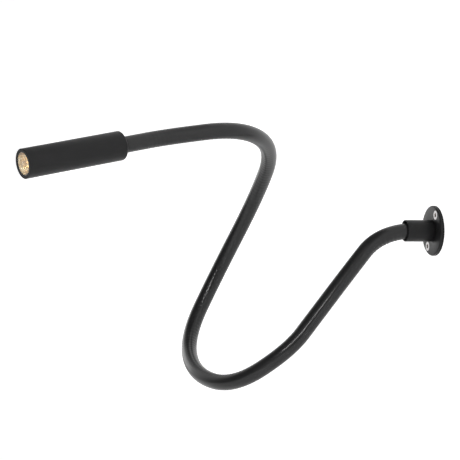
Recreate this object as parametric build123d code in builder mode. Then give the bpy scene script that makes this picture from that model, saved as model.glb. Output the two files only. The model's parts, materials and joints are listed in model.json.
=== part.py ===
from build123d import *
from math import acos, cos, degrees, pi, radians, sqrt, tan
import os

# Bendable LED wall light: a plate and collar on the wall, a sleeved gooseneck arm, a tube head
# Lengths are in millimetres and angles in degrees. The origin is the centre of the plate's back.
# The wall is the plane Y = 0, the light stands out towards -Y, and +Z is up.

# Wall plate
plate_diameter = 40.0
plate_thickness = 3.1
plate_chamfer = 0.7
rim_groove_back = 0.9
rim_groove_width = 0.4
rim_groove_depth = 0.5

# Countersunk wall screws, on a slanting line through the plate's centre
screw_circle = 29.6
screw_line_angle = 57.0
screw_thread = 4.0
screw_neck = 3.4
screw_head = 7.6
screw_length = 25.0
screw_tip = 3.0
screw_sink = 0.1
screw_hole_clearance = 0.15
screw_head_clearance = 0.2
cross_span = 4.2
cross_width = 1.1
cross_depth = 1.3
cross_taper = 8.0

# Arm: sleeve over a hollow steel core, with two leads in the core's bore
arm_diameter = 12.7
sleeve_wall = 0.9
sleeve_clearance = 0.1
core_bore = 6.0
knuckle_clearance = 0.5
lead_diameter = 1.8
lead_spacing = 2.2

# End fittings that grip the core, one at the wall and one in the head
seat_clearance = 0.05
seat_floor = 1.5
cup_length = 10.2
cup_clearance = 0.15
arm_socket_clearance = 0.5
sleeve_end_gap = 0.2
tail_diameter = 10.0
tail_clearance = 0.1
tail_chamfer = 0.5
tail_end_gap = 0.3

# Bush in the rear end of the wall fitting
bush_flange = 7.8
bush_flange_thickness = 1.0
bush_length = 4.0
bush_bore = 4.2
bush_clearance = 0.1
bush_recess = 1.2
lead_recess = 0.3

# Collar on the wall plate
collar_wall = 1.8
collar_length = 22.6
collar_lip = 0.8
collar_mouth_depth = 6.0
collar_floor = 2.5
collar_rounding = 0.3

# Head tube
head_diameter = 22.6
head_wall = 1.3
head_recess = 5.8
head_floor = 3.0
head_rear_rounding = 1.5
head_front_chamfer = 0.3

# Washer and nut that hold the arm's fitting in the head
washer_clearance = 0.5
washer_thickness = 0.8
nut_across_flats = 14.0
nut_corner_clearance = 0.42
nut_height = 4.0
nut_clearance = 0.05
tail_past_nut = 0.7
lead_chamber = 17.0

# Stack between the tube's step and its front: heat sink, board, reflector, glass, bezel
stack_clearance = 0.15
sink_length = 23.4
sink_pocket = 9.0
sink_pocket_depth = 6.0
pad_thickness = 0.4
pad_margin = 0.5
board_clearance = 0.3
board_thickness = 1.6
lead_hole_radius = 1.3
lead_bend_radius = 2.0
solder_radius = 1.3
solder_to_spacer = 1.25
package_side = 3.5
package_height = 0.7
dome_radius = 1.35
spacer_length = 20.4
spacer_wall = 0.7
flange_thickness = 0.8
glass_thickness = 0.8
glass_clearance = 0.1
glass_edge = 0.15
bezel_lip = 0.3
bezel_bevel = 0.2
bezel_width = 1.4
bezel_skirt = 0.6
bezel_clearance = 0.05

# Faceted reflector bowl
throat_radius = 3.0
throat_gap = 1.3
bowl_wall = 0.45
bowl_rows = 6
bowl_facets = 18

# Arm route, by hand: corners from the wall plate's back to the centre of the head's back face
route = [
    Vector(0, 0, 0),
    Vector(0, -48, 0),
    Vector(4, -123, -93),
    Vector(-25, -162, -123),
    Vector(-79, -178, -117),
    Vector(-136, -169, -90),
    Vector(-146, -140, -38),
    Vector(-113, -114, 29),
    Vector(-54, -118, 66),
    Vector(-2, -159, 80),
    Vector(-2, -220, 72),
    Vector(10, -259, 64.3),
]
straight_from_wall = 19.0
corner_share = 0.45
first_knuckle_share = 0.4
knuckle_share = 0.5

# Sizes that follow from the arm
core_diameter = arm_diameter - 2 * (sleeve_wall + sleeve_clearance)
core_radius = core_diameter / 2
seat_diameter = core_diameter + 2 * seat_clearance
arm_socket = arm_diameter + 2 * arm_socket_clearance
cup_diameter = arm_socket - 2 * cup_clearance
tail_hole = tail_diameter + 2 * tail_clearance

# Distances from the wall
shoulder = plate_thickness + collar_floor
core_start = shoulder + seat_floor
sleeve_start = shoulder + cup_length + sleeve_end_gap
wall_tail_length = shoulder - tail_end_gap
lead_start = tail_end_gap + bush_recess - bush_flange_thickness + lead_recess

# Distances from the head's back face, towards its front
floor_back = head_recess + cup_length
floor_front = floor_back + head_floor
washer_front = floor_front + washer_thickness
nut_front = washer_front + nut_height
head_tail_length = head_floor + washer_thickness + nut_height + tail_past_nut
tail_front = floor_back + head_tail_length
sink_back = floor_front + lead_chamber
sink_front = sink_back + sink_length
pad_front = sink_front + pad_thickness
board_front = pad_front + board_thickness
flange_back = board_front + spacer_length
flange_front = flange_back + flange_thickness
glass_front = flange_front + glass_thickness
head_length = glass_front + bezel_lip
core_depth_in_head = floor_back - seat_floor
sleeve_depth_in_head = head_recess - sleeve_end_gap

# Diameters in the head
head_bore = head_diameter - 2 * head_wall
nut_corner_radius = nut_across_flats / 2 / cos(radians(30))
chamber_bore = 2 * (nut_corner_radius + nut_corner_clearance)
stack_diameter = head_bore - 2 * stack_clearance
board_diameter = head_bore - 2 * board_clearance
washer_diameter = chamber_bore - 2 * washer_clearance
lead_hole_offset = stack_diameter / 2 - spacer_wall - solder_to_spacer - solder_radius
bezel_outer = head_bore / 2 - bezel_clearance
bezel_inner = bezel_outer - bezel_width
bezel_seat = bezel_outer - bezel_skirt

# Arm runs, corner radii and the places of the knuckles, where the arm bends
runs = [end - start for start, end in zip(route, route[1:])]
directions = [run.normalized() for run in runs]
stretches = len(runs)
corners = range(1, stretches)


def corner_radius(corner):
    turn = runs[corner - 1].get_angle(runs[corner])
    before = runs[corner - 1].length * corner_share
    if corner == 1:
        before = runs[0].length - straight_from_wall
    after = runs[corner].length * corner_share
    return min(before, after) / tan(radians(turn / 2))


def knuckle_place(corner):
    share = first_knuckle_share if corner == 1 else knuckle_share
    return route[corner] + runs[corner] * share


radii = [corner_radius(corner) for corner in corners]
knuckles = [knuckle_place(corner) for corner in corners]

# The leads' side-by-side direction on each run, carried round each corner without a twist
lead_sides = [Vector(1, 0, 0)]
for before, after in zip(runs, runs[1:]):
    bend = Axis((0, 0, 0), before.cross(after))
    lead_sides.append(lead_sides[-1].rotate(bend, before.get_angle(after)))

# Planes: one flat on the wall, one across the head's back, and a section through each axis
wall_axis = Axis((0, 0, 0), (0, -1, 0))
wall_plane = Plane((0, 0, 0), x_dir=(1, 0, 0), z_dir=(0, -1, 0))
head_back = route[-1]
head_direction = directions[-1]
head_side = lead_sides[-1]
head_axis = Axis(head_back, head_direction)
head_plane = Plane(head_back, x_dir=head_side, z_dir=head_direction)


def section_plane(origin, side, direction):
    return Plane(origin, x_dir=side, z_dir=side.cross(direction))


wall_section = section_plane(Vector(0, 0, 0), lead_sides[0], Vector(0, -1, 0))
head_section = section_plane(head_back, head_side, head_direction)


def fitting_outline(tail_length):
    # Radius and height over the shoulder: bored tail below it, cup for the core above it
    return [
        (core_bore / 2, -tail_length),
        (tail_diameter / 2 - tail_chamfer, -tail_length),
        (tail_diameter / 2, -tail_length + tail_chamfer),
        (tail_diameter / 2, 0),
        (cup_diameter / 2, 0),
        (cup_diameter / 2, cup_length),
        (seat_diameter / 2, cup_length),
        (seat_diameter / 2, seat_floor),
        (core_bore / 2, seat_floor),
    ]


on_face = (Align.CENTER, Align.CENTER, Align.MIN)
os.makedirs("parts", exist_ok=True)

# Wall plate, with a groove round its rim
with BuildPart() as rosette:
    with BuildSketch(wall_plane):
        Circle(plate_diameter / 2)
    extrude(amount=plate_thickness)
    chamfer(rosette.faces().sort_by(Axis.Y)[0].edges(), length=plate_chamfer)
    with BuildSketch(wall_plane.offset(rim_groove_back)):
        Circle(plate_diameter / 2)
        Circle(plate_diameter / 2 - rim_groove_depth, mode=Mode.SUBTRACT)
    extrude(amount=rim_groove_width, mode=Mode.SUBTRACT)
    with Locations(wall_plane.offset(plate_thickness)):
        Hole(radius=tail_hole / 2)
        with PolarLocations(screw_circle / 2, 2, start_angle=screw_line_angle):
            CounterSinkHole(
                radius=screw_thread / 2 + screw_hole_clearance,
                counter_sink_radius=screw_head / 2 + screw_head_clearance,
                counter_sink_angle=90,
            )
rosette.part.label = "rosette"
export_step(rosette.part, "parts/rosette.step")

# Wall screws: flush head, plain neck in the plate, thread and point behind it
head_face = plate_thickness - screw_sink
neck_start = head_face - (screw_head - screw_neck) / 2
with BuildPart() as wall_screws:
    for half_turn in (0, 180):
        angle = screw_line_angle + half_turn
        arm_to_screw = Vector(screw_circle / 2, 0).rotate(Axis.Z, angle)
        centre = wall_plane.from_local_coords(arm_to_screw)
        with BuildSketch(section_plane(centre, lead_sides[0], Vector(0, -1, 0))):
            with BuildLine():
                Polyline(
                    (0, head_face),
                    (screw_head / 2, head_face),
                    (screw_neck / 2, neck_start),
                    (screw_neck / 2, 0),
                    (screw_thread / 2, 0),
                    (screw_thread / 2, head_face + screw_tip - screw_length),
                    (0, head_face - screw_length),
                    close=True,
                )
            make_face()
        revolve(axis=Axis(centre, (0, -1, 0)))
        recess_plane = Plane(
            centre + Vector(0, -head_face, 0), x_dir=(1, 0, 0), z_dir=(0, -1, 0)
        )
        with BuildSketch(recess_plane):
            Rectangle(cross_span, cross_width, rotation=angle)
            Rectangle(cross_width, cross_span, rotation=angle)
        extrude(amount=-cross_depth, taper=cross_taper, mode=Mode.SUBTRACT)
wall_screws.part.label = "wall_screws"
export_step(wall_screws.part, "parts/wall_screws.step")

# Collar: open socket with a stepped mouth, on the plate's face
collar_radius = arm_socket / 2 + collar_wall
mouth_radius = collar_radius - collar_lip
collar_end = plate_thickness + collar_length
with BuildPart() as collar:
    with BuildSketch(wall_section):
        with BuildLine():
            Polyline(
                (tail_hole / 2, plate_thickness),
                (collar_radius, plate_thickness),
                (collar_radius, collar_end),
                (mouth_radius, collar_end),
                (mouth_radius, collar_end - collar_mouth_depth),
                (arm_socket / 2, collar_end - collar_mouth_depth),
                (arm_socket / 2, shoulder),
                (tail_hole / 2, shoulder),
                close=True,
            )
        make_face()
    revolve(axis=wall_axis)
    mouth_edges = collar.faces().sort_by(Axis.Y)[0].edges()
    fillet(mouth_edges, radius=min(collar_rounding, 0.4 * collar_lip))
collar.part.label = "collar"
export_step(collar.part, "parts/collar.step")

# Wall fitting: cup for the core, tail through the collar and plate, recess for the bush
shoulder_section = section_plane(Vector(0, -shoulder, 0), lead_sides[0], Vector(0, -1, 0))
with BuildPart() as wall_ferrule:
    with BuildSketch(shoulder_section):
        with BuildLine():
            Polyline(*fitting_outline(wall_tail_length), close=True)
        make_face()
    revolve(axis=wall_axis)
    with BuildSketch(wall_plane.offset(tail_end_gap)):
        Circle(bush_flange / 2 + bush_clearance)
    extrude(amount=bush_recess, mode=Mode.SUBTRACT)
wall_ferrule.part.label = "wall_ferrule"
export_step(wall_ferrule.part, "parts/wall_ferrule.step")

# Flanged bush for the supply leads
bush_seat = tail_end_gap + bush_recess
with BuildPart() as cable_bush:
    with BuildSketch(wall_plane.offset(bush_seat - bush_flange_thickness)):
        Circle(bush_flange / 2)
    extrude(amount=bush_flange_thickness)
    with BuildSketch(wall_plane.offset(bush_seat)):
        Circle(core_bore / 2 - bush_clearance)
    extrude(amount=bush_length - bush_flange_thickness)
    with Locations(wall_plane.offset(bush_seat)):
        Hole(radius=bush_bore / 2)
cable_bush.part.label = "cable_bush"
export_step(cable_bush.part, "parts/cable_bush.step")


def stretch_points(number, wall_distance, head_depth):
    # A stretch starts at the wall or a knuckle, rounds one corner, and ends at the next knuckle
    start = Vector(0, -wall_distance, 0)
    if number > 1:
        start = knuckles[number - 2]
    if number == stretches:
        return [start, head_back + head_direction * head_depth]
    return [start, route[number], knuckles[number - 1]]


def draw_stretch(number, points):
    # Inside a line builder: the last stretch is straight, the others round their corner
    if number == stretches:
        Line(*points)
    else:
        FilletPolyline(*points, radius=radii[number - 1])


def start_plane(number, points):
    return Plane(points[0], x_dir=lead_sides[number - 1], z_dir=directions[number - 1])


def print_volume(name, part, section, points, number):
    # The swept volume against the section's area times the path's length
    with BuildLine() as path:
        draw_stretch(number, points)
    length = sum(edge.length for edge in path.edges())
    print(name, "length", round(length, 1), "volume share", round(part.volume / section / length, 4))


# Steel core of the arm: a dome at each stretch's far end turns in the next one's hollow mouth
dome_angle = degrees(acos(core_bore / core_diameter))
dome_height = sqrt(core_radius**2 - (core_bore / 2) ** 2)
for number in range(1, stretches + 1):
    points = stretch_points(number, core_start, core_depth_in_head)
    with BuildPart() as gooseneck_coil:
        with BuildLine():
            draw_stretch(number, points)
        with BuildSketch(start_plane(number, points)):
            Circle(core_radius)
            Circle(core_bore / 2, mode=Mode.SUBTRACT)
        sweep()
        if number < stretches:
            pivot = knuckles[number - 1]
            with BuildSketch(section_plane(pivot, lead_sides[number], directions[number])):
                with BuildLine():
                    Line((core_bore / 2, 0), (core_radius, 0))
                    CenterArc((0, 0), core_radius, 0, dome_angle)
                    Line((core_bore / 2, dome_height), (core_bore / 2, 0))
                make_face()
            revolve(axis=Axis(pivot, directions[number]))
        if number > 1:
            with Locations(knuckles[number - 2]):
                Sphere(core_radius + knuckle_clearance, mode=Mode.SUBTRACT)
    gooseneck_coil.part.label = f"gooseneck_coil_{number}"
    export_step(gooseneck_coil.part, f"parts/gooseneck_coil_{number}.step")

# Black sleeve over the core
sleeve_area = pi * ((arm_diameter / 2) ** 2 - (arm_diameter / 2 - sleeve_wall) ** 2)
for number in range(1, stretches + 1):
    points = stretch_points(number, sleeve_start, sleeve_depth_in_head)
    with BuildPart() as arm_sleeve:
        with BuildLine():
            draw_stretch(number, points)
        with BuildSketch(start_plane(number, points)):
            Circle(arm_diameter / 2)
            Circle(arm_diameter / 2 - sleeve_wall, mode=Mode.SUBTRACT)
        sweep()
    arm_sleeve.part.label = f"arm_sleeve_{number}"
    print_volume(arm_sleeve.part.label, arm_sleeve.part, sleeve_area, points, number)
    export_step(arm_sleeve.part, f"parts/arm_sleeve_{number}.step")

# Pair of insulated leads through the core
for number in range(1, stretches + 1):
    points = stretch_points(number, lead_start, tail_front)
    with BuildPart() as arm_leads:
        with BuildLine():
            draw_stretch(number, points)
        with BuildSketch(start_plane(number, points)):
            with Locations((-lead_spacing / 2, 0), (lead_spacing / 2, 0)):
                Circle(lead_diameter / 2)
        sweep()
    arm_leads.part.label = f"arm_leads_{number}"
    export_step(arm_leads.part, f"parts/arm_leads_{number}.step")

# Head tube: socket for the arm at the back, inner floor, lead chamber, step and front bore
with BuildPart() as head_tube:
    with BuildSketch(head_section):
        with BuildLine():
            Polyline(
                (arm_socket / 2, 0),
                (head_diameter / 2, 0),
                (head_diameter / 2, head_length),
                (head_bore / 2, head_length),
                (head_bore / 2, sink_back),
                (chamber_bore / 2, sink_back),
                (chamber_bore / 2, floor_front),
                (tail_hole / 2, floor_front),
                (tail_hole / 2, floor_back),
                (arm_socket / 2, floor_back),
                close=True,
            )
        make_face()
    revolve(axis=head_axis)
    rings = head_tube.edges().filter_by(GeomType.CIRCLE)
    rear_rings = rings.group_by(head_axis)[0]
    front_rings = rings.group_by(head_axis)[-1]
    fillet(rear_rings.sort_by(SortBy.RADIUS)[-1], radius=head_rear_rounding)
    chamfer(front_rings.sort_by(SortBy.RADIUS)[-1], length=head_front_chamfer)
head_tube.part.label = "head_tube"
export_step(head_tube.part, "parts/head_tube.step")

# Head fitting: its shoulder on the inner floor, its tail through the floor
floor_point = head_back + head_direction * floor_back
with BuildPart() as head_ferrule:
    with BuildSketch(section_plane(floor_point, head_side, -head_direction)):
        with BuildLine():
            Polyline(*fitting_outline(head_tail_length), close=True)
        make_face()
    revolve(axis=head_axis)
head_ferrule.part.label = "head_ferrule"
export_step(head_ferrule.part, "parts/head_ferrule.step")

# Washer and nut on the fitting's tail
with BuildPart() as lock_washer:
    with BuildSketch(head_plane.offset(floor_front)):
        Circle(washer_diameter / 2)
        Circle(tail_hole / 2, mode=Mode.SUBTRACT)
    extrude(amount=washer_thickness)
lock_washer.part.label = "lock_washer"
export_step(lock_washer.part, "parts/lock_washer.step")

with BuildPart() as lock_nut:
    with BuildSketch(head_plane.offset(washer_front)):
        RegularPolygon(nut_corner_radius, 6)
        Circle(tail_diameter / 2 + nut_clearance, mode=Mode.SUBTRACT)
    extrude(amount=nut_height)
lock_nut.part.label = "lock_nut"
export_step(lock_nut.part, "parts/lock_nut.step")

# Heat sink: slug on the tube's step, with a rear pocket and two holes for the leads
with BuildPart() as heat_sink:
    with BuildSketch(head_plane.offset(sink_back)):
        Circle(stack_diameter / 2)
        with PolarLocations(lead_hole_offset, 2):
            Circle(lead_hole_radius, mode=Mode.SUBTRACT)
    extrude(amount=sink_length)
    with BuildSketch(head_plane.offset(sink_back)):
        Circle(sink_pocket / 2)
    extrude(amount=sink_pocket_depth, mode=Mode.SUBTRACT)
heat_sink.part.label = "heat_sink"
export_step(heat_sink.part, "parts/heat_sink.step")

# Thermal pad and round metal-core board, both pierced for the leads
with BuildPart() as thermal_pad:
    with BuildSketch(head_plane.offset(sink_front)):
        Circle(board_diameter / 2 - pad_margin)
        with PolarLocations(lead_hole_offset, 2):
            Circle(lead_hole_radius, mode=Mode.SUBTRACT)
    extrude(amount=pad_thickness)
thermal_pad.part.label = "thermal_pad"
export_step(thermal_pad.part, "parts/thermal_pad.step")

with BuildPart() as led_board:
    with BuildSketch(head_plane.offset(pad_front)):
        Circle(board_diameter / 2)
        with PolarLocations(lead_hole_offset, 2):
            Circle(lead_diameter / 2, mode=Mode.SUBTRACT)
    extrude(amount=board_thickness)
led_board.part.label = "led_board"
export_step(led_board.part, "parts/led_board.step")

# Light source: square package with a clear dome
with BuildPart() as led_package:
    with BuildSketch(head_plane.offset(board_front)):
        Rectangle(package_side, package_side)
    extrude(amount=package_height)
led_package.part.label = "led_package"
export_step(led_package.part, "parts/led_package.step")

with BuildPart() as led_dome:
    with Locations(head_plane.offset(board_front + package_height)):
        Sphere(dome_radius, arc_size1=0, align=on_face)
led_dome.part.label = "led_dome"
export_step(led_dome.part, "parts/led_dome.step")

# Last stretch of the two leads, from the fitting's tail to the board's face
lead_gap = sink_back - tail_front
bend_start = tail_front + lead_gap / 4
bend_end = sink_back - lead_gap / 4
with BuildPart() as head_leads:
    for side in (-1, 1):
        near = side * lead_spacing / 2
        far = side * lead_hole_offset
        with BuildLine(head_section):
            FilletPolyline(
                (near, tail_front),
                (near, bend_start),
                (far, bend_end),
                (far, board_front),
                radius=lead_bend_radius,
            )
        with BuildSketch(head_plane.offset(tail_front)):
            with Locations((near, 0)):
                Circle(lead_diameter / 2)
        sweep()
head_leads.part.label = "head_leads"
export_step(head_leads.part, "parts/head_leads.step")

with BuildPart() as solder_joints:
    with Locations(head_plane.offset(board_front)):
        with PolarLocations(lead_hole_offset, 2):
            Sphere(solder_radius, arc_size1=0, align=on_face)
solder_joints.part.label = "solder_joints"
export_step(solder_joints.part, "parts/solder_joints.step")

# Spacer tube between the board and the reflector's flange
with BuildPart() as reflector_spacer:
    with BuildSketch(head_plane.offset(board_front)):
        Circle(stack_diameter / 2)
        Circle(stack_diameter / 2 - spacer_wall, mode=Mode.SUBTRACT)
    extrude(amount=spacer_length)
reflector_spacer.part.label = "reflector_spacer"
export_step(reflector_spacer.part, "parts/reflector_spacer.step")

# Reflector: rows of flat facets on a parabola, thin wall, flange at the mouth
bowl_back = board_front + throat_gap
bowl_mouth = bezel_inner
bowl_depth = flange_front - bowl_back


def bowl_row(row):
    # Radius grows evenly from the throat to the mouth, and height with its square
    radius = throat_radius + (bowl_mouth - throat_radius) * row / bowl_rows
    rise = (radius**2 - throat_radius**2) / (bowl_mouth**2 - throat_radius**2)
    return radius, bowl_back + bowl_depth * rise


outer_rows = [bowl_row(row) for row in range(bowl_rows)]
outer_wall = [(radius + bowl_wall, height) for radius, height in outer_rows]
with BuildPart() as reflector:
    with BuildSketch(head_section):
        with BuildLine():
            Polyline(
                (0, bowl_back),
                *outer_wall,
                (bowl_mouth + bowl_wall - spacer_wall / 4, flange_back),
                (stack_diameter / 2, flange_back),
                (stack_diameter / 2, flange_front),
                (0, flange_front),
                close=True,
            )
        make_face()
    revolve(axis=head_axis)
    for row in range(bowl_rows + 1):
        radius, height = bowl_row(row)
        with BuildSketch(head_plane.offset(height)):
            RegularPolygon(radius, bowl_facets)
    loft(ruled=True, mode=Mode.SUBTRACT)
reflector.part.label = "reflector"
export_step(reflector.part, "parts/reflector.step")

# Front glass, and the bezel ring round it that clamps the reflector's flange
with BuildPart() as front_glass:
    with BuildSketch(head_plane.offset(flange_front)):
        Circle(bezel_seat - glass_clearance)
    extrude(amount=glass_thickness)
    chamfer(front_glass.edges().filter_by(GeomType.CIRCLE), length=glass_edge)
front_glass.part.label = "front_glass"
export_step(front_glass.part, "parts/front_glass.step")

with BuildPart() as bezel_ring:
    with BuildSketch(head_section):
        with BuildLine():
            Polyline(
                (bezel_inner, glass_front),
                (bezel_seat, glass_front),
                (bezel_seat, flange_front),
                (bezel_outer, flange_front),
                (bezel_outer, head_length),
                (bezel_inner + bezel_bevel, head_length),
                (bezel_inner, head_length - bezel_bevel),
                close=True,
            )
        make_face()
    revolve(axis=head_axis)
bezel_ring.part.label = "bezel_ring"
export_step(bezel_ring.part, "parts/bezel_ring.step")


# Knuckle axes, for the arm's joints
def square_to(vector, direction):
    return (vector - direction * vector.dot(direction)).normalized()


def upright_axis(knuckle):
    return square_to(Vector(0, 0, 1), directions[knuckle])


def level_axis(knuckle):
    return directions[knuckle].cross(upright_axis(knuckle))


def opening_axis(knuckle):
    # Turning about it straightens the bend that the knuckle lies in
    this_bend = runs[knuckle - 1].cross(runs[knuckle]).normalized()
    next_bend = runs[knuckle].cross(runs[knuckle + 1]).normalized()
    return -square_to(this_bend + next_bend, directions[knuckle])


def twist_axis(knuckle):
    return directions[knuckle].cross(-opening_axis(knuckle))


knuckle_axes = {
    "arm_swing": upright_axis(1),
    "arm_lift": level_axis(2),
    "lower_bend_1": opening_axis(3),
    "lower_bend_2": opening_axis(4),
    "lower_bend_3": opening_axis(5),
    "arm_sway": twist_axis(6),
    "upper_bend_1": opening_axis(7),
    "upper_bend_2": opening_axis(8),
    "head_turn": upright_axis(9),
    "head_tilt": level_axis(10),
}
for (name, axis), place in zip(knuckle_axes.items(), knuckles):
    print(name, [round(v, 2) for v in place], [round(v, 4) for v in axis])
print("corner radii", [round(radius, 1) for radius in radii])
print("head length", round(head_length, 2))
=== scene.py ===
# %% [markdown]
# # Bendable LED wall light
# The light is a round plate and collar on a wall, a long bendable arm in a black sleeve, and a tube
# head with a faceted reflector behind glass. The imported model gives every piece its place, in metres:
# the wall is the plane Y = 0, the light stands out towards -Y, and Z is up. Each step below remodels
# or dresses one piece of it, and says what the real piece is and why it is made this way here.

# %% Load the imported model
import json
from math import cos, pi, radians, sin

import bpy
import numpy as np
from mathutils import Matrix, Vector

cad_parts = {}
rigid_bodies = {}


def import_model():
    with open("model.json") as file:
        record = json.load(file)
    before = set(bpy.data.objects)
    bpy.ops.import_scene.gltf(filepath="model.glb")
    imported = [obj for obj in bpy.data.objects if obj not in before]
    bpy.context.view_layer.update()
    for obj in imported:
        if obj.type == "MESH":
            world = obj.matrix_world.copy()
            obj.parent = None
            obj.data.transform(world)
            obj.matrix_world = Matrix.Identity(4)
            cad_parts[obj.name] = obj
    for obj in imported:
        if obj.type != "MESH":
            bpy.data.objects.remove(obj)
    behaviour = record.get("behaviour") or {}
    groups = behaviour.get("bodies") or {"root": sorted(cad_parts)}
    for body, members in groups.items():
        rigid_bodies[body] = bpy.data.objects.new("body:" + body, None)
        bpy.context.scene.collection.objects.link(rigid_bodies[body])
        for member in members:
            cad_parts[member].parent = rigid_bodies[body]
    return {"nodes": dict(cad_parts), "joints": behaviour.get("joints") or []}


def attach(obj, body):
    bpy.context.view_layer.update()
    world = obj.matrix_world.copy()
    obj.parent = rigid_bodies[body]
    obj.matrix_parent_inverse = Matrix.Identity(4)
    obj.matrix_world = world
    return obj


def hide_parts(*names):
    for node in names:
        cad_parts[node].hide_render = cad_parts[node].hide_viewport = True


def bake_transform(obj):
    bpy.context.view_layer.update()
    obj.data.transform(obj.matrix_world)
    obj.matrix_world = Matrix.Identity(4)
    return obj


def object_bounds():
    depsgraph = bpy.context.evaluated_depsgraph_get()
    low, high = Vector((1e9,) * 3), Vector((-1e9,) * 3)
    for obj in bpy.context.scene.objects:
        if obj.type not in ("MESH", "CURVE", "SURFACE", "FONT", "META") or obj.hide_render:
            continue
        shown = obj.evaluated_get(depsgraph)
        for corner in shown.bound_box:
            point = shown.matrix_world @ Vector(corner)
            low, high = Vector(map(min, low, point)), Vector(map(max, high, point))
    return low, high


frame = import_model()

cad_low, cad_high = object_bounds()
nodes = frame["nodes"]

# %% [markdown]
# ## Working by hand, in code
# Blender's operators act on whatever is selected, so each new piece starts with nothing selected. A
# piece is modelled upright at the origin, where its sizes read as on a drawing, and is then carried to
# its place, which goes into its mesh. Its object stays at the origin, so that a pattern in its
# material doesn't slide.

# %% Selecting, editing and finishing
MM = 0.001
merge_distance = MM / 1000


def select_only(*pieces):
    for piece in bpy.context.selected_objects:
        piece.select_set(False)
    for piece in pieces:
        piece.select_set(True)
        bpy.context.view_layer.objects.active = piece


def edit(piece):
    select_only(piece)
    bpy.ops.object.mode_set(mode="EDIT")
    bpy.ops.mesh.select_mode(type="VERT")
    bpy.ops.mesh.select_all(action="SELECT")


def leave_edit():
    bpy.ops.object.mode_set(mode="OBJECT")


def apply_modifier(piece, kind, **settings):
    select_only(piece)
    modifier = piece.modifiers.new(kind.title(), kind)
    for setting, value in settings.items():
        setattr(modifier, setting, value)
    bpy.ops.object.modifier_apply(modifier=modifier.name)


def round_edges(piece, width, segments=3, angle=30):
    apply_modifier(
        piece, "BEVEL", width=width * MM, segments=segments, limit_method="ANGLE",
        angle_limit=radians(angle), use_clamp_overlap=True,
    )


def carry(piece, place):
    select_only(piece)
    piece.matrix_world = place
    bpy.ops.object.transform_apply(location=True, rotation=True, scale=True)


def smooth(piece, angle=30):
    select_only(piece)
    bpy.ops.object.shade_smooth_by_angle(angle=radians(angle))


def named(piece, name):
    piece.name = name
    piece.data.name = name
    return piece


def select_faces(piece, wanted):
    for vertex in piece.data.vertices:
        vertex.select = False
    for edge in piece.data.edges:
        edge.select = False
    for face in piece.data.polygons:
        face.select = wanted(face)
    select_only(piece)
    bpy.ops.object.mode_set(mode="EDIT")
    bpy.ops.mesh.select_mode(type="FACE")


# %% [markdown]
# ## Turned pieces
# Most of this light is turned on a lathe: the plate, the collar, the head tube, its bezel, its glass
# and the screws' blanks. A turned piece could start as a cylinder whose rims are inset and pushed, but
# the lathe's own way is shorter and gives true walls. One point is drawn out into half a section, and
# the section is spun about the axis. The spin can leave faces inside out, so they are turned outwards
# once the seam is merged.

# %% Spin a section
def turned(name, outline, steps=96):
    select_only()
    bpy.ops.mesh.primitive_plane_add(size=MM)
    piece = named(bpy.context.object, name)
    edit(piece)
    bpy.ops.mesh.merge(type="CENTER")
    here = Vector((0, 0, 0))
    for number, (radius, height) in enumerate(list(outline) + [outline[0]]):
        there = Vector((radius * MM, 0, height * MM))
        if number == 0:
            bpy.ops.transform.translate(value=there)
        else:
            bpy.ops.mesh.extrude_vertices_move(TRANSFORM_OT_translate={"value": there - here})
        here = there
    bpy.ops.mesh.select_all(action="SELECT")
    bpy.ops.mesh.remove_doubles(threshold=merge_distance)
    bpy.ops.mesh.spin(steps=steps, angle=2 * pi, center=(0, 0, 0), axis=(0, 0, 1))
    bpy.ops.mesh.select_all(action="SELECT")
    bpy.ops.mesh.remove_doubles(threshold=merge_distance)
    bpy.ops.mesh.normals_make_consistent(inside=False)
    leave_edit()
    print(name, "faces", len(piece.data.polygons))
    return piece


# %% [markdown]
# ## Where things stand
# Two upright frames carry the turned pieces: one on the wall, whose axis points out of it, and one
# in the head, whose axis points out of its glass.

# %% Places
wall_place = Matrix(((1, 0, 0, 0), (0, 0, -1, 0), (0, 1, 0, 0), (0, 0, 0, 1)))
head_back = Vector((10, -259, 64.3)) * MM
head_direction = Vector((12, -39, -7.7)).normalized()
head_turn = head_direction.to_track_quat("Z", "Y").to_matrix().to_4x4()
head_place = Matrix.Translation(head_back) @ head_turn
print("head axis", head_direction)

# %% [markdown]
# ## Finishes from node graphs
# A finish is a graph of small nodes. Writing `1 - mask * 0.3` is easier to read than four lines that
# add and link Math nodes, so a small class wraps a node's output and lets Python's own signs add those
# nodes. Every other node comes from one method.

# %% Signals and graphs
class Signal:
    def __init__(self, graph, socket):
        self.graph = graph
        self.socket = socket

    def calculate(self, operation, *values):
        inputs = dict(enumerate(values))
        return self.graph.node("ShaderNodeMath", {"operation": operation}, inputs)

    def __add__(self, other):
        return self.calculate("ADD", self, other)

    def __radd__(self, other):
        return self.calculate("ADD", other, self)

    def __sub__(self, other):
        return self.calculate("SUBTRACT", self, other)

    def __rsub__(self, other):
        return self.calculate("SUBTRACT", other, self)

    def __mul__(self, other):
        return self.calculate("MULTIPLY", self, other)

    def __rmul__(self, other):
        return self.calculate("MULTIPLY", other, self)

    def __truediv__(self, other):
        return self.calculate("DIVIDE", self, other)

    def sine(self):
        return self.calculate("SINE", self)

    def least(self, other):
        return self.calculate("MINIMUM", self, other)

    def most(self, other):
        return self.calculate("MAXIMUM", self, other)

    def above(self, limit):
        return self.calculate("GREATER_THAN", self, limit)

    def below(self, limit):
        return self.calculate("LESS_THAN", self, limit)


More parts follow.
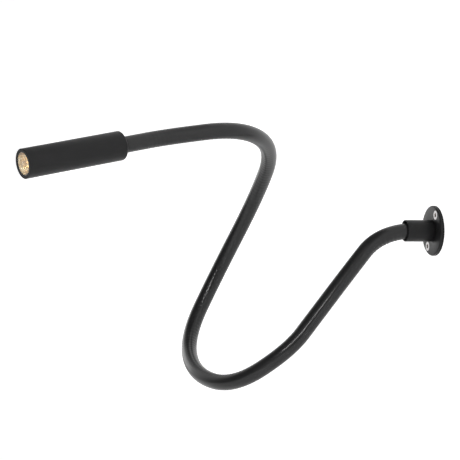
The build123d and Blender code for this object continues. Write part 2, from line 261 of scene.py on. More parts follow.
class Graph:
    def __init__(self, tree):
        self.tree = tree
        self.tree.nodes.clear()

    def node(self, kind, settings=None, inputs=None, output=0):
        made = self.tree.nodes.new(kind)
        for setting, value in (settings or {}).items():
            if setting == "stops":
                ramp = made.color_ramp.elements
                while len(ramp) < len(value):
                    ramp.new(1)
                for stop, (position, grey) in zip(ramp, value):
                    stop.position = position
                    stop.color = (grey, grey, grey, 1)
            else:
                setattr(made, setting, value)
        for socket, value in (inputs or {}).items():
            if isinstance(value, Signal):
                self.tree.links.new(value.socket, made.inputs[socket])
            else:
                made.inputs[socket].default_value = value
        return Signal(self, made.outputs[output]) if made.outputs else None

    def vector_math(self, operation, *values, output=0):
        inputs = dict(enumerate(values))
        return self.node("ShaderNodeVectorMath", {"operation": operation}, inputs, output)

    def place(self):
        return self.node("ShaderNodeTexCoord", output="Object")

    def ray_kind(self, kind):
        return self.node("ShaderNodeLightPath", output=f"Is {kind} Ray")

    def attribute(self, name):
        return self.node("ShaderNodeAttribute", {"attribute_name": name}, output="Vector")

    def noise(self, scale, detail=3, where=None, stretch=(1, 1, 1)):
        stretched = self.node(
            "ShaderNodeMapping", None, {"Vector": where or self.place(), "Scale": stretch}
        )
        inputs = {"Vector": stretched, "Scale": scale, "Detail": detail}
        return self.node("ShaderNodeTexNoise", None, inputs)

    def spots(self, scale):
        inputs = {"Vector": self.place(), "Scale": scale}
        return self.node("ShaderNodeTexVoronoi", None, inputs)

    def from_axis(self, point, direction):
        offset = self.vector_math("SUBTRACT", self.place(), point)
        sideways = self.vector_math("CROSS_PRODUCT", offset, direction)
        return self.vector_math("LENGTH", sideways, output=1)

    def ramp(self, signal, *stops):
        return self.node("ShaderNodeValToRGB", {"stops": stops}, {"Fac": signal})

    def blend_colours(self, share, first, second):
        inputs = {0: share}
        for socket, colour in ((6, first), (7, second)):
            inputs[socket] = colour if isinstance(colour, Signal) else (*colour, 1)
        return self.node("ShaderNodeMix", {"data_type": "RGBA"}, inputs, output=2)

    def bump(self, height, depth, under=None):
        inputs = {"Height": height, "Distance": depth * MM}
        if under:
            inputs["Normal"] = under
        return self.node("ShaderNodeBump", None, inputs)


class Finish(Graph):
    def __init__(self, name):
        self.material = bpy.data.materials.new(name)
        self.material.use_nodes = True
        super().__init__(self.material.node_tree)

    def principled(self, **inputs):
        sockets = {name.replace("_", " "): value for name, value in inputs.items()}
        return self.node("ShaderNodeBsdfPrincipled", None, sockets)

    def surface(self, **inputs):
        self.node("ShaderNodeOutputMaterial", None, {"Surface": self.principled(**inputs)})
        return self.material


# %% [markdown]
# ## Black powder coat
# The plate, the collar and the head are powder coated: a matt black skin with the faint orange peel of
# melted powder. Its gloss wanders a little, and so does its black, and a few grains of dust lie on it.
# The peel is too fine for geometry, so it is a bump of a few hundredths of a millimetre.

# %% Black powder coat
def powder_coat():
    finish = Finish("black_coat")
    peel = finish.noise(1500, 4)
    drift = finish.noise(60, 2)
    dust = finish.ramp(finish.spots(900), (0.0, 1.0), (0.06, 0.0))
    black = finish.blend_colours(drift, (0.008, 0.008, 0.0085), (0.013, 0.013, 0.0135))
    return finish.surface(
        Base_Color=finish.blend_colours(dust * 0.25, black, (0.20, 0.19, 0.18)),
        Roughness=0.36 + 0.08 * drift + 0.05 * peel,
        Specular_IOR_Level=0.20,
        Normal=finish.bump(peel, 0.02),
    )


black_coat = powder_coat()
print(black_coat.name, "nodes", len(black_coat.node_tree.nodes))

# %% [markdown]
# ## Satin black sleeve
# The arm wears a tight plastic sleeve. It was drawn from a die, so its gloss runs in faint streaks
# along it, and handling has left softer patches. The streaks follow the arm because the sleeve's mesh
# keeps, as an attribute, where each point was while the sleeve was still straight.

# %% Satin black sleeve
def sleeve_plastic():
    finish = Finish("sleeve_black")
    straight = finish.attribute("straight")
    streaks = finish.noise(60, 3, straight, (0.25, 22, 22))
    handling = finish.noise(28, 3, straight)
    grain = finish.noise(2600, 3)
    return finish.surface(
        Base_Color=finish.blend_colours(handling, (0.012, 0.012, 0.0125), (0.020, 0.020, 0.0205)),
        Roughness=0.30 + 0.08 * handling + 0.06 * streaks,
        Specular_IOR_Level=0.16,
        Coat_Weight=0.32,
        Coat_Roughness=0.10,
        Normal=finish.bump(grain, 0.003, finish.bump(streaks, 0.008)),
    )


sleeve_black = sleeve_plastic()
print(sleeve_black.name, "nodes", len(sleeve_black.node_tree.nodes))

# %% [markdown]
# ## Metals
# The screws, the fittings and the nut are steel, the heat sink is aluminium and the leads' ends are
# copper. A turned piece shows fine rings round its own axis, which come from each point's distance to
# that axis. The two screws share one finish, so their rings use the nearer of two axes. Their recesses
# are coloured a darker brown, from just below the head's face to the recess's floor.

# %% Metals
ring_depth = 0.004


def metal(name, colour, roughness, axes=(), ring_pitch=0.12, darker_recesses=None):
    finish = Finish(name)
    grain = finish.noise(1100, 4)
    drift = finish.noise(80, 2)
    marks = grain
    for number, (point, direction) in enumerate(axes):
        distance = finish.from_axis(point, direction)
        nearest = distance if number == 0 else nearest.least(distance)
        marks = 0.5 + 0.35 * (nearest * (2 * pi / (ring_pitch * MM))).sine() + 0.15 * grain
    darker = tuple(value * 0.78 for value in colour)
    base = finish.blend_colours(drift, darker, colour)
    recess_darkening = 0.0
    # Inside the screws' recesses the colour is blended towards a darker brown, and the gloss drops.
    if darker_recesses:
        reach, front, back = darker_recesses
        height = finish.node("ShaderNodeSeparateXYZ", None, {"Vector": finish.place()}, output="Y")
        recess_darkening = height.above(-front * MM) * height.below(-back * MM) * nearest.below(reach * MM)
        base = finish.blend_colours(recess_darkening * 0.9, base, (0.20, 0.15, 0.11))
    return finish.surface(
        Base_Color=base,
        Metallic=1.0,
        Roughness=roughness + 0.12 * drift + 0.08 * grain + 0.25 * recess_darkening,
        Normal=finish.bump(marks, ring_depth),
    )


screw_line_angle = radians(57)
screw_circle_radius = 14.8
screw_axes = [
    ((side * cos(screw_line_angle) * screw_circle_radius * MM, 0,
      side * sin(screw_line_angle) * screw_circle_radius * MM), (0, 1, 0)) for side in (1, -1)
]
recess_reach = 2.9
recess_front = 2.9
recess_back = 1.4
head_axis = ((tuple(head_back), tuple(head_direction)),)
coil_steel = metal("coil_steel", (0.45, 0.45, 0.46), 0.35)
turned_steel = metal("turned_steel", (0.62, 0.62, 0.63), 0.22, head_axis)
zinc_steel = metal("zinc_steel", (0.66, 0.67, 0.68), 0.26, head_axis)
screw_steel = metal(
    "screw_steel", (0.42, 0.41, 0.41), 0.24, screw_axes, darker_recesses=(recess_reach, recess_front, recess_back)
)
sink_aluminium = metal("sink_aluminium", (0.75, 0.75, 0.76), 0.30, head_axis, 0.3)
solder = metal("solder", (0.70, 0.70, 0.70), 0.25)
copper = metal("copper", (0.80, 0.42, 0.26), 0.28)
print("metals", [metal_finish.name for metal_finish in (coil_steel, turned_steel, zinc_steel, copper)])

# %% [markdown]
# ## Plastics
# The bush, the leads' insulation and the spacer are moulded or drawn plastics with a fine grain. The
# thermal pad is a soft filled silicone, rougher and mottled. The board has a white mask over its
# copper.

# %% Plastics
def plastic(name, colour, roughness, grain_scale=1400, depth=0.01):
    finish = Finish(name)
    grain = finish.noise(grain_scale, 3)
    drift = finish.noise(grain_scale / 12, 2)
    darker = tuple(value * 0.8 for value in colour)
    return finish.surface(
        Base_Color=finish.blend_colours(drift, darker, colour),
        Roughness=roughness + 0.1 * grain,
        Normal=finish.bump(grain, depth),
    )


bush_plastic = plastic("bush_plastic", (0.035, 0.035, 0.035), 0.45)
lead_insulation = plastic("lead_insulation", (0.05, 0.05, 0.05), 0.4)
pad_grey = plastic("pad_grey", (0.42, 0.45, 0.50), 0.7, 700, 0.02)
board_white = plastic("board_white", (0.80, 0.80, 0.78), 0.35)
package_white = plastic("package_white", (0.85, 0.84, 0.80), 0.4)
spacer_plastic = plastic("spacer_plastic", (0.05, 0.05, 0.05), 0.5)
print("plastics", [plastic_finish.name for plastic_finish in (bush_plastic, lead_insulation, pad_grey)])

# %% [markdown]
# ## Light, glass and reflector
# The lamp is on. The dome over the light source glows a warm white, paler at its centre than at its
# rim. The bowl round it is plastic with a bright metal film, with tiny scratches from wiping; its
# colour holds painted warm light from the lamp, in tan and cream patches. The flat glass in front is
# clear, with faint smudges in its gloss.

# %% Light, glass and reflector
def lit_dome():
    finish = Finish("dome_clear")
    grain = finish.noise(900, 2)
    centre = finish.ramp(finish.from_axis(*head_axis[0]) / (1.35 * MM), (0.0, 1.0), (1.0, 0.0))
    return finish.surface(
        Base_Color=finish.blend_colours(grain, (0.95, 0.85, 0.6), (1.0, 0.92, 0.7)),
        Roughness=0.15,
        Emission_Color=finish.blend_colours(centre, (1.0, 0.74, 0.42), (1.0, 0.84, 0.58)),
        Emission_Strength=240.0,
    )


def clear_glass():
    finish = Finish("glass_clear")
    smudge = finish.noise(120, 3)
    return finish.surface(
        Base_Color=(1.0, 1.0, 1.0, 1.0),
        Transmission_Weight=1.0,
        IOR=1.45,
        Roughness=0.01 + 0.03 * smudge,
    )


def bright_reflector():
    finish = Finish("reflector_bright")
    # Painted light: the tan and cream patches in the bowl's colour stand in for the lamp's warm light
    # on it.
    drift = finish.ramp(finish.noise(260, 2), (0.38, 0.0), (0.56, 1.0))
    scratches = finish.noise(900, 5, None, (1, 1, 9))
    return finish.surface(
        Base_Color=finish.blend_colours(drift, (0.76, 0.58, 0.36), (1.0, 0.95, 0.82)),
        Metallic=1.0,
        Roughness=0.08 + 0.05 * drift + 0.04 * scratches,
        Normal=finish.bump(scratches, 0.003),
    )


dome_clear = lit_dome()
glass_clear = clear_glass()
reflector_bright = bright_reflector()
print("lamp", dome_clear.name, glass_clear.name, reflector_bright.name)

# %% [markdown]
# ## Putting a piece in the model
# Each finished piece takes a finish, rides one body of the model and replaces the node it was made
# for. A node of the imported model can also be kept: it is copied, its seams are merged, its edges are
# rounded a little, as real edges are, and it gets its finish.

# %% Dressing and keeping pieces
finishes = {
    "black_coat": black_coat, "sleeve_black": sleeve_black, "coil_steel": coil_steel,
    "turned_steel": turned_steel, "zinc_steel": zinc_steel, "screw_steel": screw_steel,
    "sink_aluminium": sink_aluminium, "solder": solder, "bush_plastic": bush_plastic,
    "lead_insulation": lead_insulation, "pad_grey": pad_grey, "board_white": board_white,
    "package_white": package_white, "spacer_plastic": spacer_plastic, "dome_clear": dome_clear,
    "glass_clear": glass_clear, "reflector_bright": reflector_bright,
}


def dress(piece, material):
    piece.data.materials.clear()
    piece.data.materials.append(material)


def place_in_model(piece, body, node, slot):
    dress(piece, finishes[slot])
    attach(piece, body)
    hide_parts(node)


def keep_node(node, body, slot, edge=0.0):
    original = nodes[node]
    piece = original.copy()
    piece.data = original.data.copy()
    bpy.context.scene.collection.objects.link(piece)
    named(piece, f"fine_{node}")
    carry(piece, original.matrix_world.copy())
    edit(piece)
    bpy.ops.mesh.remove_doubles(threshold=merge_distance)
    bpy.ops.mesh.normals_make_consistent(inside=False)
    leave_edit()
    if edge:
        round_edges(piece, edge, 2)
    smooth(piece)
    place_in_model(piece, body, node, slot)


# %% [markdown]
# ## Wall plate
# The plate is a turned disc, coated black. Its front edge is chamfered, a thin groove runs round its
# rim, and two countersunk holes take the screws. The holes are cut with turned cutters, as a drill and
# a countersink would, and all its sharp edges are broken before it is coated.

# %% Wall plate
plate_radius = 20.0
plate_thickness = 3.1
plate_chamfer = 0.7
groove_back = 0.9
groove_front = 1.3
groove_floor = 19.5
fitting_hole_radius = 5.1
screw_hole_radius = 2.15
countersink_radius = 4.0
broken_edge = 0.12

wall_plate = turned("wall_plate", [
    (fitting_hole_radius, 0), (plate_radius, 0), (plate_radius, groove_back),
    (groove_floor, groove_back), (groove_floor, groove_front), (plate_radius, groove_front),
    (plate_radius, plate_thickness - plate_chamfer), (plate_radius - plate_chamfer, plate_thickness),
    (fitting_hole_radius, plate_thickness),
], steps=128)


def screw_spots():
    for half_turn in (0, pi):
        angle = screw_line_angle + half_turn
        yield Vector((cos(angle), sin(angle), 0)) * screw_circle_radius * MM


def cut(piece, cutter):
    apply_modifier(piece, "BOOLEAN", operation="DIFFERENCE", solver="EXACT", object=cutter)
    bpy.data.objects.remove(cutter)


round_edges(wall_plate, broken_edge, 2)
for spot in screw_spots():
    sink = turned("countersink", [
        (0, -1), (screw_hole_radius, -1),
        (screw_hole_radius, plate_thickness - countersink_radius + screw_hole_radius),
        (countersink_radius, plate_thickness), (countersink_radius, plate_thickness + 1),
        (0, plate_thickness + 1),
    ], steps=48)
    carry(sink, Matrix.Translation(spot))
    cut(wall_plate, sink)
carry(wall_plate, wall_place)
smooth(wall_plate)
place_in_model(wall_plate, "wall_mount", "rosette", "black_coat")

# %% [markdown]
# ## Collar
# The collar is a turned sleeve on the plate. Its mouth is wider than the arm, so a ring of shadow
# shows round the arm where it goes in, and its lip catches the light.

# %% Collar
collar_radius = 8.65
collar_end = 25.7
mouth_radius = 7.85
mouth_depth = 6.0
socket_radius = 6.85
shoulder = 5.6
lip_round = 0.38

wall_collar = turned("wall_collar", [
    (fitting_hole_radius, plate_thickness), (collar_radius, plate_thickness),
    (collar_radius, collar_end), (mouth_radius, collar_end),
    (mouth_radius, collar_end - mouth_depth), (socket_radius, collar_end - mouth_depth),
    (socket_radius, shoulder), (fitting_hole_radius, shoulder),
])
round_edges(wall_collar, lip_round)
carry(wall_collar, wall_place)
smooth(wall_collar)
place_in_model(wall_collar, "wall_mount", "collar", "black_coat")

# %% [markdown]
# ## Wall screws
# Two countersunk screws hold the plate. Each blank is turned, with its cone, a plain neck and a
# point. A cross recess is sunk into its head with two tapered bars, as the punch does, and the
# thread is one ridge wound up the shank, which is how it is rolled.

# %% Wall screws
screw_head_radius = 3.8
screw_neck_radius = 1.7
screw_core_radius = 1.5
screw_crest_radius = 2.0
screw_head_face = 3.0
screw_length = 25.0
screw_tip = 3.0
thread_pitch = 1.4
thread_turns = 12
ridge_flank = 0.4
ridge_flat = 0.1
ridge_buried = 0.15
recess_span = 5.6
recess_width = 1.8
recess_depth = 1.5
recess_taper = (0.35, 0.7, 1)


def cross_bar(angle):
    select_only()
    bar_size = (recess_span * MM, recess_width * MM, 2 * recess_depth * MM)
    bpy.ops.mesh.primitive_cube_add(size=1, scale=bar_size)
    bar = bpy.context.object
    bpy.ops.object.transform_apply(scale=True)
    select_faces(bar, lambda face: face.normal.z < -0.5)
    bpy.ops.transform.resize(value=recess_taper)
    leave_edit()
    carry(bar, Matrix.Translation((0, 0, screw_head_face * MM)) @ Matrix.Rotation(angle, 4, "Z"))
    return bar


def thread_ridge():
    select_only()
    low = screw_head_face + screw_tip - screw_length
    bpy.ops.mesh.primitive_plane_add(size=MM)
    ridge = bpy.context.object
    edit(ridge)
    bpy.ops.mesh.merge(type="CENTER")
    ridge_height = 2 * ridge_flank + ridge_flat
    start = Vector((screw_core_radius - ridge_buried, 0, low - ridge_height / 2))
    bpy.ops.transform.translate(value=start * MM)
    out = screw_crest_radius - screw_core_radius + ridge_buried
    for across, along in ((out, ridge_flank), (0, ridge_flat), (-out, ridge_flank), (0, -ridge_height)):
        step = Vector((across, 0, along)) * MM
        bpy.ops.mesh.extrude_vertices_move(TRANSFORM_OT_translate={"value": step})
    bpy.ops.mesh.select_all(action="SELECT")
    bpy.ops.mesh.remove_doubles(threshold=merge_distance)
    bpy.ops.mesh.edge_face_add()
    leave_edit()
    apply_modifier(
        ridge, "SCREW", angle=2 * pi, steps=24, render_steps=24, screw_offset=thread_pitch * MM,
        iterations=thread_turns, use_merge_vertices=True,
    )
    edit(ridge)
    bpy.ops.mesh.normals_make_consistent(inside=False)
    leave_edit()
    return ridge


for number, spot in enumerate(screw_spots()):
    point = screw_head_face - screw_length
    screw = turned(f"wall_screw_{number + 1}", [
        (0, screw_head_face), (screw_head_radius - 0.15, screw_head_face),
        (screw_head_radius, screw_head_face - 0.15),
        (screw_neck_radius, screw_head_face - screw_head_radius + screw_neck_radius),
        (screw_neck_radius, -1.5), (screw_core_radius, -1.8),
        (screw_core_radius, point + screw_tip), (0.25, point + 0.15), (0, point),
    ], steps=48)
    for quarter in (0, pi / 2):
        cut(screw, cross_bar(quarter))
    ridge = thread_ridge()
    select_only(ridge, screw)
    bpy.ops.object.join()
    named(screw, f"wall_screw_{number + 1}")
    carry(screw, wall_place @ Matrix.Translation(spot) @ Matrix.Rotation(screw_line_angle, 4, "Z"))
    smooth(screw)
    place_in_model(screw, "wall_mount", "wall_screws", "screw_steel")
print("screw faces", len(screw.data.polygons))

# %% [markdown]
# ## Head tube
# The head is a turned tube: a socket for the arm at its back, a floor that the arm's fitting is
# clamped to, a chamber for the leads and a step that the heat sink stands on. Its rear edge is
# rounded as arcs in the section, because a bevel would also round the socket.

# %% Head tube
head_radius = 11.3
head_length = 83.7
head_bore_radius = 10.0
chamber_radius = 8.5
head_floor_back = 16.0
head_floor_front = 19.0
sink_seat = 36.0
rear_round = 1.5
front_chamfer = 0.3

rear_turns = [radians(turn) for turn in range(0, 91, 15)]
rear_arc = [
    (head_radius - rear_round + rear_round * sin(turn), rear_round - rear_round * cos(turn))
    for turn in rear_turns
]
head_shell = turned("head_shell", [
    (socket_radius, 0.3), (socket_radius + 0.3, 0), *rear_arc,
    (head_radius, head_length - front_chamfer), (head_radius - front_chamfer, head_length),
    (head_bore_radius, head_length), (head_bore_radius, sink_seat), (chamber_radius, sink_seat),
    (chamber_radius, head_floor_front), (fitting_hole_radius, head_floor_front),
    (fitting_hole_radius, head_floor_back), (socket_radius, head_floor_back),
], steps=128)
carry(head_shell, head_place)
smooth(head_shell)
place_in_model(head_shell, "head", "head_tube", "black_coat")

# %% [markdown]
# ## Bezel and front glass
# A thin ring closes the head. Its skirt presses the reflector's flange down, and its lip keeps the
# glass in. The lip is only a few tenths thick, so that the lit bowl starts almost at the front.

# %% Bezel and front glass
bezel_outer = 9.95
bezel_inner = 8.55
bezel_seat = 9.35
bezel_bevel = 0.2
glass_radius = 9.25
flange_front = 82.6
glass_front = 83.4
glass_edge = 0.15

bezel = turned("bezel", [
    (bezel_inner, glass_front), (bezel_seat, glass_front), (bezel_seat, flange_front),
    (bezel_outer, flange_front), (bezel_outer, head_length - 0.1), (bezel_outer - 0.1, head_length),
    (bezel_inner + bezel_bevel, head_length), (bezel_inner, head_length - bezel_bevel),
], steps=128)
carry(bezel, head_place)
smooth(bezel)
place_in_model(bezel, "head", "bezel_ring", "black_coat")

lens = turned("lens", [
    (0, flange_front), (glass_radius - glass_edge, flange_front),
    (glass_radius, flange_front + glass_edge), (glass_radius, glass_front - glass_edge),
    (glass_radius - glass_edge, glass_front), (0, glass_front),
])
carry(lens, head_place)
smooth(lens)
place_in_model(lens, "head", "front_glass", "glass_clear")

# %% [markdown]
# ## Faceted reflector
# The bowl throws the light forward and hides the source. It follows a parabola in six rows of
# facets. Each row is drawn out of the ring below it and widened. Every facet is then inset and raised
# into a little cushion, which is what spreads the beam and makes the bowl sparkle, and the mouth runs
# out into a flange. The film of metal is on a wall half a millimetre thick.

# %% Faceted reflector
board_front = 61.4
throat_radius = 3.0
throat_gap = 1.3
bowl_rows = 6
bowl_facets = 18
bowl_wall = 0.45
flange_radius = 9.8
flange_thickness = 0.8
facet_gap = 0.08
facet_rise = 0.02
bowl_back = board_front + throat_gap


def bowl_row(row):
    radius = throat_radius + (bezel_inner - throat_radius) * row / bowl_rows
    rise = (radius**2 - throat_radius**2) / (bezel_inner**2 - throat_radius**2)
    return radius, bowl_back + (flange_front - bowl_back) * rise


def draw_ring(radius, height, next_radius, next_height):
    bpy.ops.mesh.extrude_region_move(
        TRANSFORM_OT_translate={"value": (0, 0, (next_height - height) * MM)}
    )
    bpy.ops.transform.resize(value=(next_radius / radius, next_radius / radius, 1))


select_only()
bpy.ops.mesh.primitive_circle_add(
    vertices=bowl_facets, radius=throat_radius * MM, location=(0, 0, bowl_back * MM)
)
bowl = named(bpy.context.object, "bowl")
bpy.ops.object.transform_apply(location=True)
edit(bowl)
rows = [bowl_row(row) for row in range(bowl_rows + 1)]
for (radius, height), (next_radius, next_height) in zip(rows, rows[1:]):
    draw_ring(radius, height, next_radius, next_height)
draw_ring(bezel_inner, flange_front, flange_radius, flange_front)
draw_ring(flange_radius, flange_front, flange_radius, flange_front - flange_thickness + bowl_wall)
bpy.ops.mesh.select_all(action="SELECT")
bpy.ops.mesh.normals_make_consistent(inside=False)
leave_edit()
facet = bowl.data.polygons[0]
outwards = facet.normal.dot(Vector((facet.center.x, facet.center.y, 0))) > 0
if outwards:
    edit(bowl)
    bpy.ops.mesh.flip_normals()
    leave_edit()


def in_bowl(face):
    return face.center.xy.length < bezel_inner * MM and abs(face.normal.z) < 0.99


select_faces(bowl, in_bowl)
bpy.ops.mesh.inset(thickness=facet_gap * MM, use_individual=True)
bpy.ops.transform.shrink_fatten(value=facet_rise * MM)
leave_edit()
apply_modifier(bowl, "SOLIDIFY", thickness=bowl_wall * MM, offset=-1)
carry(bowl, head_place)
smooth(bowl, 12)
place_in_model(bowl, "head", "reflector", "reflector_bright")
print("bowl faces", len(bowl.data.polygons), "turned round", outwards)

# %% [markdown]
# ## Arm line
# The arm's pieces all follow one smooth line from the wall to the head, which passes through the
# bends of the photographed arm. It is a NURBS curve whose points stand where the arm's own corners
# would be, with its ends straight along the collar and the head.

# %% Arm line
arm_points = [
    (0, -16.2, 0), (0, -46, 0), (2, -75, -34), (3, -102, -67), (3, -123, -93), (-24, -161, -123),
    (-80, -178, -117), (-136, -169, -90), (-147, -140, -38), (-113, -114, 29), (-54, -117, 67),
    (-1, -160, 80), (-2.1, -219.6, 72.1), (8.87, -255.34, 65.02), (11.62, -264.26, 63.26),
]
curve = bpy.data.curves.new("arm_line", "CURVE")
curve.dimensions = "3D"
spline = curve.splines.new("NURBS")
spline.points.add(len(arm_points) - 1)
for point, place in zip(spline.points, arm_points):
    point.co = (*(Vector(place) * MM), 1)
spline.order_u = 3
spline.use_endpoint_u = True
spline.resolution_u = 48
arm_line = bpy.data.objects.new("arm_line", curve)
bpy.context.scene.collection.objects.link(arm_line)
bpy.context.view_layer.update()
line_mesh = bpy.data.meshes.new_from_object(arm_line)
line = np.array([vertex.co for vertex in line_mesh.vertices])
bpy.data.meshes.remove(line_mesh)
line_lengths = np.concatenate([[0], np.cumsum(np.linalg.norm(np.diff(line, axis=0), axis=1))])
arm_length = float(line_lengths[-1])
print("arm length", arm_length)

# %% [markdown]
# ## Where the arm bends
# The model turns the arm at ten knuckles. Between two neighbouring knuckles the arm is cut, so each
# piece holds one knuckle near its middle.

# %% Knuckles and cuts
def arm_point(distance):
    return Vector([float(np.interp(distance, line_lengths, line[:, axis])) for axis in range(3)])


def nearest_distance(point):
    return float(line_lengths[np.argmin(np.linalg.norm(line - np.array(point), axis=1))])


knuckles = [nearest_distance(joint["pos_m"]) for joint in frame["joints"]]
cuts = [(before + after) / 2 for before, after in zip(knuckles, knuckles[1:])]
bodies = [frame["joints"][0]["parent"]] + [joint["child"] for joint in frame["joints"]]
blend_inset = 3 * MM
arm_in_head = 5.6 * MM
head_mouth = arm_length - arm_in_head

# %% [markdown]
# ## Drawing a tube and bending it
# A layer of the arm starts as a straight tube: a circle, or two for the pair of leads, drawn out by
# a few rings and repeated with an array. Each point notes where it is on the straight tube. A curve
# modifier then lays the tube along the arm's line.

# %% Straight tubes
rib_pitch = 3.7 * MM
ribs = round(arm_length / rib_pitch)
rib_length = arm_length / ribs
rings_per_rib = 6


def tube_run(name, centres, radius, sides, start, end, rings):
    ring_length = (end - start) / rings
    select_only()
    circles = []
    for across in centres:
        bpy.ops.mesh.primitive_circle_add(
            vertices=sides, radius=radius * MM, rotation=(0, pi / 2, 0), location=(0, across * MM, 0)
        )
        circles.append(bpy.context.object)
    select_only(*circles)
    if len(circles) > 1:
        bpy.ops.object.join()
    piece = named(bpy.context.object, name)
    select_only(piece)
    bpy.ops.object.transform_apply(location=True, rotation=True)
    edit(piece)
    for _ in range(rings_per_rib):
        bpy.ops.mesh.extrude_region_move(TRANSFORM_OT_translate={"value": (ring_length, 0, 0)})
    leave_edit()
    apply_modifier(
        piece, "ARRAY", count=rings // rings_per_rib, use_relative_offset=False,
        use_constant_offset=True, constant_offset_displace=(ring_length * rings_per_rib, 0, 0),
        use_merge_vertices=True, merge_threshold=ring_length / 100,
    )
    carry(piece, Matrix.Translation((start, 0, 0)))
    edit(piece)
    bpy.ops.mesh.normals_make_consistent(inside=False)
    leave_edit()
    return piece


def places(piece):
    values = np.zeros(len(piece.data.vertices) * 3)
    piece.data.vertices.foreach_get("co", values)
    return values.reshape(-1, 3)


def note_straight_places(piece):
    attribute = piece.data.attributes.new("straight", "FLOAT_VECTOR", "POINT")
    attribute.data.foreach_set("vector", places(piece).ravel())


def straight_places(piece):
    values = np.zeros(len(piece.data.vertices) * 3)
    piece.data.attributes["straight"].data.foreach_get("vector", values)
    return values.reshape(-1, 3)


# %% [markdown]
# ## Ribs under the sleeve
# The sleeve is tight, so the wound core shows through as a slanting rib on every turn. The ribs are
# faint where the arm is straight. On the inside of a bend the turns close up and the sleeve sinks
# between them, and on the outside it is pulled flat. How deep each point sinks is a vertex group, and
# a displacement along the normals presses it in.

# %% Ribs
tightest_bend = 0.11
stretched_outside = -0.3
valley_sharpness = 1.5


def press_ribs(piece, depth, straight_share):
    straight = straight_places(piece)
    bent = places(piece)
    along = straight[:, 0]
    rings, ring = np.unique(np.round(along, 7), return_inverse=True)
    count = np.bincount(ring)
    centre = np.stack([np.bincount(ring, bent[:, axis]) / count for axis in range(3)], axis=1)
    ring_length = rings[1] - rings[0]
    spread = 12
    padded = np.pad(centre, ((spread, spread), (0, 0)), mode="edge")
    turn = (padded[2 * spread:] - 2 * centre + padded[:-2 * spread]) / (spread * ring_length) ** 2
    turn[:spread] = turn[-spread:] = 0
    inner = np.einsum("ij,ij->i", bent - centre[ring], turn[ring])
    inside = np.clip(inner / tightest_bend, stretched_outside, 1)
    slant = np.arctan2(straight[:, 2], straight[:, 1]) / (2 * pi)
    wave = np.cos(2 * pi * (along / rib_length - slant))
    valley = (0.5 + 0.5 * wave) ** valley_sharpness
    share = valley * np.clip(straight_share + (1 - straight_share) * inside, 0, 1)
    group = piece.vertex_groups.new(name="valleys")
    for index, weight in enumerate(share):
        group.add([index], float(weight), "REPLACE")
    apply_modifier(piece, "DISPLACE", strength=-depth * MM, mid_level=0, vertex_group="valleys")


# %% [markdown]
# ## Layers of the arm
# Each layer is cut off piece by piece between the knuckles and gets its wall thickness. The sleeve is
# the outside, the steel core is under it, and the two leads run through the core, each with a copper
# wire in its insulation.

# %% Layers
def split_off(piece, distance, name):
    along = straight_places(piece)[:, 0]
    select_faces(piece, lambda face: float(np.mean(along[list(face.vertices)])) < distance)
    bpy.ops.mesh.separate(type="SELECTED")
    leave_edit()
    part = [other for other in bpy.context.selected_objects if other != piece][0]
    return named(part, name)


def arm_layer(name, centres, radius, wall, sides, start, end, ribs_depth, node, slot, material=None):
    rings = rings_per_rib * round((end - start) / rib_length)
    ring_length = (end - start) / rings
    whole = tube_run(name, centres, radius, sides, start, end, rings)
    note_straight_places(whole)
    apply_modifier(whole, "CURVE", object=arm_line, deform_axis="POS_X")
    if ribs_depth:
        press_ribs(whole, *ribs_depth)
    pieces = []
    for number, distance in enumerate(cuts):
        at_ring = start + round((distance - start) / ring_length) * ring_length
        pieces.append(split_off(whole, at_ring, f"{name}_{number + 1}"))
    pieces.append(named(whole, f"{name}_{len(cuts) + 1}"))
    for number, piece in enumerate(pieces):
        apply_modifier(piece, "SOLIDIFY", thickness=wall * MM, offset=-1, use_rim=True)
        smooth(piece, 50)
        dress(piece, material or finishes[slot])
        knuckle = knuckles[number]
        before = cuts[number - 1] if number else 2 * knuckle - cuts[0]
        after = cuts[number] if number < len(cuts) else head_mouth
        bodies[number + 1]
        arm_point(before + blend_inset)
        arm_point(after - blend_inset)
        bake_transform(piece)
        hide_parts(f"{node}_{number + 1}")
    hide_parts(f"{node}_{len(pieces) + 1}")
    print(name, "pieces", len(pieces), "faces", sum(len(piece.data.polygons) for piece in pieces))


core_reach = 8.9 * MM
lead_back = 15.4 * MM
lead_front = arm_length + 18.9 * MM
lead_spots = (-1.1, 1.1)
wire_set_back = 0.2 * MM
arm_layer(
    "sleeve", (0,), radius=6.35, wall=0.9, sides=48, start=0, end=arm_length,
    ribs_depth=(0.16, 0.10), node="arm_sleeve", slot="sleeve_black",
)
arm_layer(
    "coil", (0,), radius=5.05, wall=2.0, sides=20, start=-core_reach, end=arm_length + core_reach,
    ribs_depth=(0.4, 1.0), node="gooseneck_coil", slot="coil_steel",
)
arm_layer(
    "lead", lead_spots, radius=0.9, wall=0.38, sides=12, start=-lead_back, end=lead_front,
    ribs_depth=None, node="arm_leads", slot="lead_insulation",
)
arm_layer(
    "wire", lead_spots, radius=0.5, wall=0.49, sides=8, start=-lead_back + wire_set_back,
    end=lead_front, ribs_depth=None, node="arm_leads", slot="lead_insulation", material=copper,
)
bpy.data.objects.remove(arm_line)

# %% [markdown]
# ## Hidden pieces
# The fittings, the bush, the nut, the heat sink and the lamp's board are inside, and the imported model
# already has their true shapes. They are kept, with their edges broken and their own finishes.

